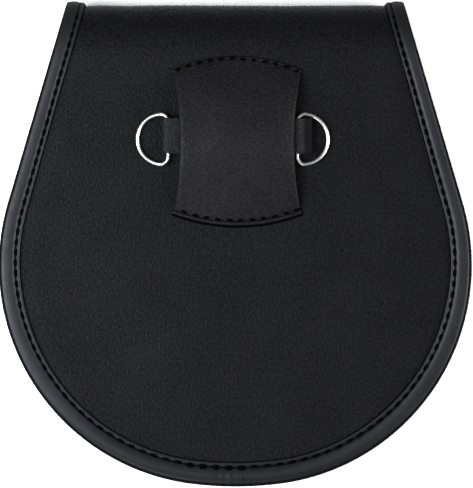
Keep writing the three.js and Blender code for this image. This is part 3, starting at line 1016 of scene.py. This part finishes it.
class SPORRAN_OT_gusset(bpy.types.Operator):
    """The thin soft wall round sides and bottom, creased and a little gathered"""
    bl_idname = "sporran.gusset"
    bl_label = "Gusset"

    def execute(self, context):
        sizes = context.scene.pouch_sizes
        edge = pocket_edge(sizes)
        run = np.append(np.arange(0, edge.length, 1.2 * MM), edge.length)
        back_mid = middles(sizes)[0]
        back = PANEL_HIGH.z - sizes.panel_wall - 0.15 * MM - back_mid
        front = FRONT_HIGH.z + 0.15 * MM - back_mid
        gathers = 0.45 * MM * np.sin(run / (4.1 * MM)) * np.sin(run / (17 * MM) + 0.6)
        gathers += 0.3 * MM * np.sin(run / (7.3 * MM) + 2.0)
        wall = sizes.gusset_wall
        steps = 13
        outer, inner = [], []
        for t in np.linspace(0, 1, steps):
            crease = 1 - abs(2 * t - 1) ** 1.5
            depth = sizes.web_inset + sizes.web_bow * crease + gathers * math.sin(math.pi * t) ** 1.5
            outer.append((depth, drift(front + wall, back - wall, t)))
            inner.append((depth + wall, drift(front, back, t)))
        rim = 1.3 * MM
        flange = sizes.front_inset + rim
        columns = [
            (rim, back), (inner[-1][0], back), *inner[-2:0:-1], (inner[0][0], front),
            (flange, front), (flange, front + wall), *outer, (rim, back - wall),
        ]
        last_outer = len(columns) - 2
        caps = [(i, i + 1, last_outer - i, last_outer - i + 1) for i in range(steps)]
        caps.append((steps, steps + 1, steps + 2, steps + 3))
        piece = lofted_object(
            "gusset_leather", edge.sections(run, columns), False, [pocket_leather(), cut_edge()],
            edge_columns=(last_outer + 1,), caps=caps)
        dress(piece, "pouch", "pocket_leather", "gusset")
        return {"FINISHED"}


class SPORRAN_OT_front(bpy.types.Operator):
    """The pocket's plain front panel and the sewn strip that binds it to the gusset"""
    bl_idname = "sporran.front"
    bl_label = "Front"

    def execute(self, context):
        sizes = context.scene.pouch_sizes
        binding = context.scene.binding_sizes
        self.panel(sizes, binding)
        self.strip(sizes, binding)
        return {"FINISHED"}

    def panel(self, sizes, binding):
        """The front panel, which sags a little below the flap's end"""
        places, outward, _ = half_below(body_outline(sizes), sizes.mouth_height)
        inset = sizes.front_inset + binding.wall + sizes.seat
        picked = thinned(places - outward * inset)
        across = across_sheet(81)
        x = picked[:, 0:1] * across
        y = np.repeat(picked[:, 1:2], len(across), 1)
        cover = binding.width_bottom
        inland = smooth((picked[:, 0:1] - np.abs(x) - cover) / (38 * MM))
        flap_end = sizes.body_height - sizes.flap_length
        free = 1 - smooth((y - (flap_end - 22 * MM)) / (30 * MM))
        belly = 2.2 * MM * inland * free * smooth((y - cover) / (30 * MM))
        belly += ripple(x, y, ((0.10 * MM, 80 * MM, 110 * MM, 0.2), (0.06 * MM, -45 * MM, 60 * MM, 1.1)))
        upper, lower = (np.stack([x, y, z - belly], -1) for z in (FRONT_HIGH.z, FRONT_LOW.z))
        piece = sheet_piece(
            "front_panel_leather", upper, lower, panel_leather(), (0.0, RIM_LOW.y, 0.0))
        dress(piece, "pouch", "panel_leather", "front_panel")

    def strip(self, sizes, binding):
        """The folded strip round the front panel, with its stitches"""
        edge = pocket_edge(sizes)
        edge.place[:, 2] = (FRONT_LOW.z + FRONT_HIGH.z) / 2
        edge.place -= edge.out * sizes.front_inset
        edge.face *= -1
        width, stitch, phase = edge_settings(edge, sizes, binding)
        run = np.append(np.arange(0, edge.length, 0.8 * MM), edge.length)
        half = (FRONT_HIGH.z - FRONT_LOW.z) / 2 + sizes.seat
        wall = 1.0 * MM
        rows, cut_columns, shaded_columns = bound_edge_rows(
            edge, run, edge.read(run, width), edge.read(run, stitch),
            above=half,
            below=half + sizes.gusset_wall + GUSSET_ROOM,
            wall=wall,
            bulge=0.35 * binding.bulge,
            under_bulge=0.0,
            groove=0.35 * binding.groove,
            dip=0.6 * binding.groove * np.sin(math.pi * edge.read(run, phase)) ** 2,
            edge_round=binding.edge_round)
        top, bottom = rows.shape[1] - 1, rows.shape[1] - 2
        tip = (bottom - 1) // 2
        caps = [(i, i + 1, top) for i in range(tip)]
        caps += [(i, i + 1, bottom) for i in range(tip, 2 * tip)]
        caps.append((tip, bottom, top))
        piece = lofted_object(
            "front_binding_leather", rows, False, [binding_leather(), cut_edge(), painted_edge_shade()],
            edge_columns=cut_columns, painted_shade_columns=shaded_columns, caps=caps, crease=60.0)
        dress(piece, "pouch", "binding_leather", "front_binding")
        row = sewn_line("front_binding_stitches", edge, phase, stitch_places(edge, phase), stitch,
                        half + wall - 0.40 * binding.groove, binding)
        dress(row, "pouch", "binding_leather")


def loop_half(loop, v):
    """Half the loop's width at v, which runs from 0 to 1 up the loop"""
    return drift(loop.waist, loop.end_width, (2 * v - 1) ** 2) / 2


def loop_span(loop, u):
    """The loop's height at u, which runs from -1 to 1 across the loop"""
    return loop.side_height + (loop.top_crown + loop.bottom_crown) * (1 - u ** 2)


def loop_underside(loop, arch, u, v):
    """Places on the loop's underside, which rises by arch between its two rows of stitches"""
    crown = 1 - u ** 2
    top = loop.side_height / 2 + loop.top_crown * crown
    low = -loop.side_height / 2 - loop.bottom_crown * crown
    span = top - low
    sewn_low = loop.stitch_bottom + loop.seam
    sewn_top = loop.stitch_top + loop.seam
    arched = np.clip((v * span - sewn_low) / (span - sewn_low - sewn_top), 0, 1)
    inland = smooth((np.minimum(v, 1 - v) * span - 8 * MM) / (18 * MM))
    z = arch * np.sin(math.pi * arched) ** 0.9
    z = z - 0.35 * MM * np.clip(-u, 0, 1) ** 3 * inland
    z = z - loop.droop * np.clip((u - 0.35) / 0.65, 0, 1) ** 2 * inland
    return np.stack([u * loop_half(loop, v), drift(low, top, v), z], -1)


def loop_seams(loop):
    """The loop's two rows of stitches. Distances count from the row's own end of the loop, pull is how
    hard the thread draws the leather in, and bed is the width of the groove that it makes."""
    return (
        dict(name="belt_loop_top_stitches", at_top=True, inset=loop.stitch_top,
             groove=loop.stitch_top, slant=loop.stitch_slant, pull=0.5, bed=0.60 * MM,
             pitch=loop.pitch_top, shift=0.5 * loop.pitch_top),
        dict(name="belt_loop_bottom_stitches", at_top=False, inset=loop.stitch_bottom,
             groove=loop.stitch_bottom - 0.2 * MM, slant=0.0, pull=1.15, bed=0.85 * MM,
             pitch=loop.pitch_bottom, shift=loop.shift_bottom),
    )


class SPORRAN_OT_belt_loop(bpy.types.Operator):
    """The waisted patch on the back, sewn down along its curved top and bottom"""
    bl_idname = "sporran.belt_loop"
    bl_label = "Belt Loop"

    def execute(self, context):
        loop = context.scene.loop_sizes
        base = BACK_FACE + context.scene.pouch_sizes.seat
        middle_y = (LOOP_HIGH.y - loop.top_crown + LOOP_LOW.y + loop.bottom_crown) / 2
        shift = ((LOOP_LOW.x + LOOP_HIGH.x) / 2, middle_y, base)
        across = np.concatenate([[-1.0], np.linspace(-0.985, 0.985, 61), [1.0]])
        up = np.unique(np.concatenate([
            [0.0, 0.004, 0.012], np.linspace(0.02, 0.11, 19), np.linspace(0.12, 0.88, 39),
            np.linspace(0.89, 0.98, 19), [0.988, 0.996, 1.0]]))
        under, upper = self.faces(loop, LOOP_HIGH.z - loop.wall - base, *np.meshgrid(across, up))
        piece = sheet_piece("belt_loop_leather", under, upper, loop_leather(), shift)
        dress(piece, "pouch", "loop_leather", "belt_loop")
        for seam in loop_seams(loop):
            self.sew(loop, upper + np.array(shift), across, up, seam)
        return {"FINISHED"}

    def faces(self, loop, arch, u, v):
        """Grids of the underside and of the upper side, with grooves, rounded rims and cut ends"""
        point = loop_underside(loop, arch, u, v)
        step = 1e-3
        v_safe = np.clip(v, step, 1 - step)
        along_x = loop_underside(loop, arch, u + step, v) - loop_underside(loop, arch, u - step, v)
        along_y = (loop_underside(loop, arch, u, v_safe + step)
                   - loop_underside(loop, arch, u, v_safe - step))
        normal = np.cross(along_x, along_y)
        normal /= np.linalg.norm(normal, axis=-1, keepdims=True)
        from_top, from_low = (1 - v) * loop_span(loop, u), v * loop_span(loop, u)
        half = loop_half(loop, v)
        thinner = 0.35 * MM * np.exp(-(from_top / (1.6 * MM)) ** 2)
        for seam in loop_seams(loop):
            from_end = from_top if seam["at_top"] else from_low
            between = np.sin(math.pi * (u * half - seam["shift"]) / seam["pitch"]) ** 2
            trough = np.exp(-((from_end - seam["groove"] - seam["slant"] * u) / seam["bed"]) ** 2)
            thinner += seam["pull"] * (0.35 * MM + 0.50 * MM * between) * trough
        edge_near = np.minimum(np.minimum(from_top, from_low), (1 - np.abs(u)) * half)
        roll = 0.42 * MM * (1 - smooth(edge_near / (0.55 * MM)))
        body = np.maximum(loop.wall - thinner - roll, 0.35 * MM)
        sway = ripple(u * half, v * loop.side_height, (
            (0.12 * MM, 38 * MM, 90 * MM, 0.3), (0.07 * MM, -22 * MM, 41 * MM, 1.3)))
        sway = sway * smooth((edge_near - 2 * MM) / (8 * MM)) * smooth((point[..., 2] - 1 * MM) / (3 * MM))
        upper = point + normal * (body + sway)[..., None]
        # Slanted cut faces on the right side and at the bottom: their near black dye shows from above as
        # painted shadow along these edges
        upper[..., 0] -= loop.cut_side * smooth((u - 0.86) / 0.14)
        upper[..., 0] += 0.3 * loop.cut_side * smooth((-u - 0.86) / 0.14)
        upper[..., 1] += loop.cut_bottom * smooth((0.045 - v) / 0.045)
        upper[..., 1] -= 0.5 * loop.cut_side * smooth((v - 0.965) / 0.035)
        return point + normal * np.maximum(sway, 0)[..., None], upper

    def sew(self, loop, skin, across, up, seam):
        """Lays one row of stitches into its groove"""
        corner, thread_share, lift = 0.95, 0.54, 0.42 * MM
        centres, ways = [], []
        for k in range(-6, 7):
            u = (k * seam["pitch"] + seam["shift"]) / (loop.end_width / 2)
            if abs(u) > corner:
                continue
            v = (seam["inset"] + seam["slant"] * u) / loop_span(loop, u)
            line = skin[int(np.argmin(np.abs(up - (1 - v if seam["at_top"] else v))))]
            centre, ahead = (
                np.array([np.interp(at, across, line[:, i]) for i in range(3)]) for at in (u, u + 0.04))
            centres.append(centre + np.array([0, 0, lift]))
            ways.append((ahead - centre) * np.array([1, 1, 0]))
        upright = np.tile([0.0, 0.0, 1.0], (len(centres), 1))
        lengths = np.full(len(centres), thread_share * seam["pitch"])
        row = sewn_row(
            seam["name"], np.array(centres), np.array(ways), upright, lengths, loop.thread, sway=0.22)
        dress(row, "pouch", "loop_leather")


def fold_point(x, z, radius, turn):
    """A place on a fold round a bar: a circle drawn out towards a square, as stiff leather folds"""
    power = 0.85
    across, up = (math.copysign(abs(part) ** power, part) for part in (math.cos(turn), math.sin(turn)))
    return x + radius * across, z + radius * up


class SPORRAN_OT_ring_strap(bpy.types.Operator):
    """The doubled strap under the loop, folded round the bar of a ring at each end"""
    bl_idname = "sporran.ring_strap"
    bl_label = "Ring Strap"

    def execute(self, context):
        loop = context.scene.loop_sizes
        path = self.path(loop, BACK_FACE + context.scene.pouch_sizes.seat)
        way = np.roll(path, -1, 0) - np.roll(path, 1, 0)
        way /= np.linalg.norm(way, axis=1, keepdims=True)
        normal = np.stack([way[:, 1], -way[:, 0]], 1)
        if np.sum((path - path.mean(0)) * normal) < 0:
            normal = -normal
        half_wide = (STRAP_HIGH.y - STRAP_LOW.y) / 2
        middle = (STRAP_HIGH.y + STRAP_LOW.y) / 2
        soft = 0.28 * MM
        quarter = (0.0, 0.33, 0.66, 1.0)
        corners = []
        for side, out in ((1, 1), (1, -1), (-1, -1), (-1, 1)):
            for turn in (quarter if side * out > 0 else quarter[::-1]):
                angle = turn * math.pi / 2
                corners.append((side * (half_wide - soft + soft * math.cos(angle)),
                                out * (loop.strap_wall / 2 - soft + soft * math.sin(angle))))
        wander = 0.15 * MM * np.sin(np.arange(len(path)) / 5.0)
        rows = np.array([
            [(p[0] + n[0] * c[1], middle + c[0] + w, p[1] + n[1] * c[1]) for c in corners]
            for p, n, w in zip(path, normal, wander)
        ])
        piece = lofted_object(
            "ring_strap_leather", rows, True, [strap_leather(), cut_edge()],
            edge_columns=(3, 11), crease=60.0)
        dress(piece, "pouch", "strap_leather", "ring_strap")
        return {"FINISHED"}

    def path(self, loop, base):
        """Middle line of the strap in X and Z: left over the upper layer, round the left bar, right
        under it, round the right bar and back"""
        left, right = (JOINTS[name]["pos_m"] for name in ("ring_left_swivel", "ring_right_swivel"))
        wall = loop.strap_wall
        radius = loop.wire / 2 + loop.ring_play + wall / 2
        bar_z = left[2]
        low, high = base + wall / 2, base + 1.5 * wall + 0.05 * MM
        drop = bar_z - radius - low
        ramp, reach, flat_end = 6 * MM, 8 * MM, 7 * MM
        turns = np.linspace(math.pi / 2, 3 * math.pi / 2, 25)
        path = []
        for x in np.linspace(right[0] - reach, left[0] + loop.strap_ramp, 24)[:-1]:
            path.append((x, high))
        for t in np.linspace(0.0, 0.95, 14):
            rise = float(smooth(1.3 * t))
            path.append((left[0] + loop.strap_ramp * (1 - t), drift(high, bar_z + radius, rise)))
        for turn in turns:
            path.append(fold_point(left[0], bar_z, radius, turn))
        for t in np.linspace(0.1, 1, 6):
            path.append((left[0] + ramp * t, low + drop * (1 - float(smooth(t)))))
        for x in np.linspace(left[0] + flat_end, right[0] - flat_end, 24):
            path.append((x, low))
        for t in np.linspace(0, 0.9, 6):
            path.append((right[0] - ramp * (1 - t), low + drop * float(smooth(t))))
        for turn in math.pi - turns[::-1]:
            loose = loop.strap_slack * (1 + math.sin(turn)) / 2
            loose += loop.strap_lean * max(0.0, math.cos(turn)) ** 1.5
            x, z = fold_point(right[0], bar_z, radius, turn)
            path.append((x + loose, z))
        for x in np.linspace(right[0] + loop.strap_slack, right[0] - reach, 16)[1:-1]:
            fall = float(smooth((right[0] - radius - x) / (reach - radius)))
            path.append((x, drift(bar_z + radius, high, fall)))
        return np.array(path)


class SPORRAN_OT_d_rings(bpy.types.Operator):
    """The two D-rings of round bright wire, each lying on the back from its fold"""
    bl_idname = "sporran.d_rings"
    bl_label = "D-Rings"

    def execute(self, context):
        loop = context.scene.loop_sizes
        for node, body, joint, side in (
            ("d_ring_left", "ring_left", "ring_left_swivel", -1),
            ("d_ring_right", "ring_right", "ring_right_swivel", 1),
        ):
            piece = self.ring(loop, node, Vector(JOINTS[joint]["pos_m"]), side)
            dress(piece, body, "nickel", node)
        return {"FINISHED"}

    def ring(self, loop, node, bar, side):
        """One ring: straight bar and round bow in one wire, tilted so that the bow lies on the back"""
        low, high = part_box(node)
        radius = loop.wire / 2
        bow = (high.y - low.y) / 2 - radius
        drop = bar.z - (low.z + radius)
        flat_reach = (high.x - bar.x if side > 0 else bar.x - low.x) - radius
        tilt = math.atan2(drop, flat_reach)
        reach = math.hypot(drop, flat_reach)
        corner = loop.ring_corner
        bar_half = bow - corner
        line = []

        def arc(x, y, size, start, end, steps):
            for turn in np.linspace(start, end, steps):
                out = (math.cos(turn), math.sin(turn))
                line.append((x + size * out[0], y + size * out[1], *out))

        arc(corner, bar_half, corner, math.pi, math.pi / 2, 12)
        arc(reach - bow, 0, bow, math.pi / 2, -math.pi / 2, 64)
        arc(corner, -bar_half, corner, -math.pi / 2, -math.pi, 12)
        line += [(0.0, y, -1.0, 0.0) for y in np.linspace(-bar_half, bar_half, 8)[1:-1]]
        line = np.array(line)
        turn = np.linspace(0, 2 * math.pi, 20, endpoint=False)
        out = line[:, None, 2:4] * np.cos(turn)[None, :, None] * radius
        flat = line[:, None, 0:2] + out
        x = flat[..., 0]
        z = np.broadcast_to(radius * np.sin(turn), x.shape)
        placed = np.stack([
            bar.x + side * (x * math.cos(tilt) + z * math.sin(tilt)),
            bar.y + flat[..., 1],
            bar.z - x * math.sin(tilt) + z * math.cos(tilt),
        ], -1)
        return lofted_object(node + "_wire", placed, True, [plated_nickel()], crease=80.0)


class SPORRAN_OT_press_fastener(bpy.types.Operator):
    """Gives the hidden press fastener its metal"""
    bl_idname = "sporran.press_fastener"
    bl_label = "Press Fastener"

    def execute(self, context):
        node = frame["nodes"]["press_fastener"]
        node.data.materials.clear()
        node.data.materials.append(plated_nickel())
        return {"FINISHED"}


# Lamps of the studio: name, place, size, power and colour
LAMPS = (
    ("left_window", (-0.42, -0.02, 0.44), 0.30, 5.5, (0.93, 0.96, 1.0)),
    ("high_window", (-0.28, -0.01, 0.55), 0.28, 3.6, (0.93, 0.96, 1.0)),
    ("low_softbox", (-0.70, -2.00, 1.20), 1.0, 30.0, (0.95, 0.97, 1.0)),
    ("ceiling", (0.0, 0.0, 3.70), 1.8, 10.8, (1.0, 1.0, 1.0)),
    ("right_fill", (1.40, -0.15, 0.95), 1.0, 50.4, (1.0, 0.99, 0.98)),
)

# Colour and strength of the light that comes from all round
ROOM_COLOUR = (0.92, 0.95, 1.0, 1.0)
ROOM_STRENGTH = 0.156


class SPORRAN_OT_studio(bpy.types.Operator):
    """Pale table, soft light from the left and the camera straight above"""
    bl_idname = "sporran.studio"
    bl_label = "Studio"

    def execute(self, context):
        studio = context.scene.studio_settings
        self.table()
        self.camera(context, studio)
        for row in LAMPS:
            self.lamp(*row)
        world = bpy.data.worlds.new("soft_room")
        context.scene.world = world
        world.use_nodes = True
        background = world.node_tree.nodes["Background"]
        background.inputs["Color"].default_value = ROOM_COLOUR
        background.inputs["Strength"].default_value = ROOM_STRENGTH
        context.scene.view_settings.view_transform = "Standard"
        return {"FINISHED"}

    def table(self):
        """A round table top, with its rings closer together towards the middle"""
        rim, rings, spokes = 3.0, 6, 48
        vertices, faces = [(0.0, 0.0, 0.0)], []
        for ring in range(1, rings + 1):
            for spoke in range(spokes):
                turn = 2 * math.pi * spoke / spokes
                reach = rim * (ring / rings) ** 2
                vertices.append((reach * math.cos(turn), reach * math.sin(turn), 0.0))
        for spoke in range(spokes):
            after = (spoke + 1) % spokes
            faces.append((0, 1 + spoke, 1 + after))
            for ring in range(rings - 1):
                inner, outer = 1 + ring * spokes, 1 + (ring + 1) * spokes
                faces.append((inner + spoke, outer + spoke, outer + after, inner + after))
        new_object("table", vertices, faces, [pale_table()])

    def camera(self, context, studio):
        """A long lens straight above, far enough away to show the wanted height"""
        data = bpy.data.cameras.new("view_from_above")
        data.lens = studio.lens
        data.sensor_width = 36.0
        camera = bpy.data.objects.new("view_from_above", data)
        distance = studio.shown_height * studio.lens / data.sensor_width
        plane = 0.5 * (PANEL_HIGH.z + 0.5 * (PANEL_HIGH.z + PANEL_LOW.z))
        camera.location = (studio.view_right, -studio.view_down, plane + distance)
        camera.rotation_euler = (0.0, 0.0, 0.0)
        context.scene.collection.objects.link(camera)
        context.scene.camera = camera

    def lamp(self, name, place, size, power, colour):
        """A square lamp that points at the middle of the table"""
        data = bpy.data.lights.new(name, "AREA")
        data.shape, data.size, data.energy, data.color = "SQUARE", size, power, colour
        lamp = bpy.data.objects.new(name, data)
        lamp.location = place
        way = Vector((0.0, 0.0, 0.0)) - Vector(place)
        lamp.rotation_euler = way.to_track_quat("-Z", "Y").to_euler()
        bpy.context.scene.collection.objects.link(lamp)


class SPORRAN_PT_sidebar(bpy.types.Panel):
    """Lists the settings and the steps that build the pouch"""
    bl_label = "Sporran Pouch"
    bl_idname = "SPORRAN_PT_sidebar"
    bl_space_type = "VIEW_3D"
    bl_region_type = "UI"
    bl_category = "Sporran"

    def draw(self, context):
        layout = self.layout
        for operator in OPERATORS:
            layout.operator(operator.bl_idname)
        for name in SETTINGS:
            box = layout.box()
            box.label(text=name.replace("_", " ").capitalize())
            group = getattr(context.scene, name)
            for key in group.__class__.__annotations__:
                box.prop(group, key)


OPERATORS = (
    SPORRAN_OT_studio,
    SPORRAN_OT_back_and_flap,
    SPORRAN_OT_edge_binding,
    SPORRAN_OT_gusset,
    SPORRAN_OT_front,
    SPORRAN_OT_belt_loop,
    SPORRAN_OT_ring_strap,
    SPORRAN_OT_d_rings,
    SPORRAN_OT_press_fastener,
)

SETTINGS = {
    "pouch_sizes": PouchSizes,
    "binding_sizes": BindingSizes,
    "loop_sizes": LoopSizes,
    "leather_colours": LeatherColours,
    "studio_settings": StudioSettings,
}


def register():
    for group in SETTINGS.values():
        bpy.utils.register_class(group)
    for name, group in SETTINGS.items():
        setattr(bpy.types.Scene, name, bpy.props.PointerProperty(type=group))
    for operator in OPERATORS:
        bpy.utils.register_class(operator)
    bpy.utils.register_class(SPORRAN_PT_sidebar)


def unregister():
    bpy.utils.unregister_class(SPORRAN_PT_sidebar)
    for operator in reversed(OPERATORS):
        bpy.utils.unregister_class(operator)
    for name in SETTINGS:
        delattr(bpy.types.Scene, name)
    for group in reversed(list(SETTINGS.values())):
        bpy.utils.unregister_class(group)


def main():
    register()
    bpy.ops.sporran.studio()
    bpy.ops.sporran.back_and_flap()
    bpy.ops.sporran.edge_binding()
    bpy.ops.sporran.gusset()
    bpy.ops.sporran.front()
    bpy.ops.sporran.belt_loop()
    bpy.ops.sporran.ring_strap()
    bpy.ops.sporran.d_rings()
    bpy.ops.sporran.press_fastener()


if __name__ == "__main__":
    main()
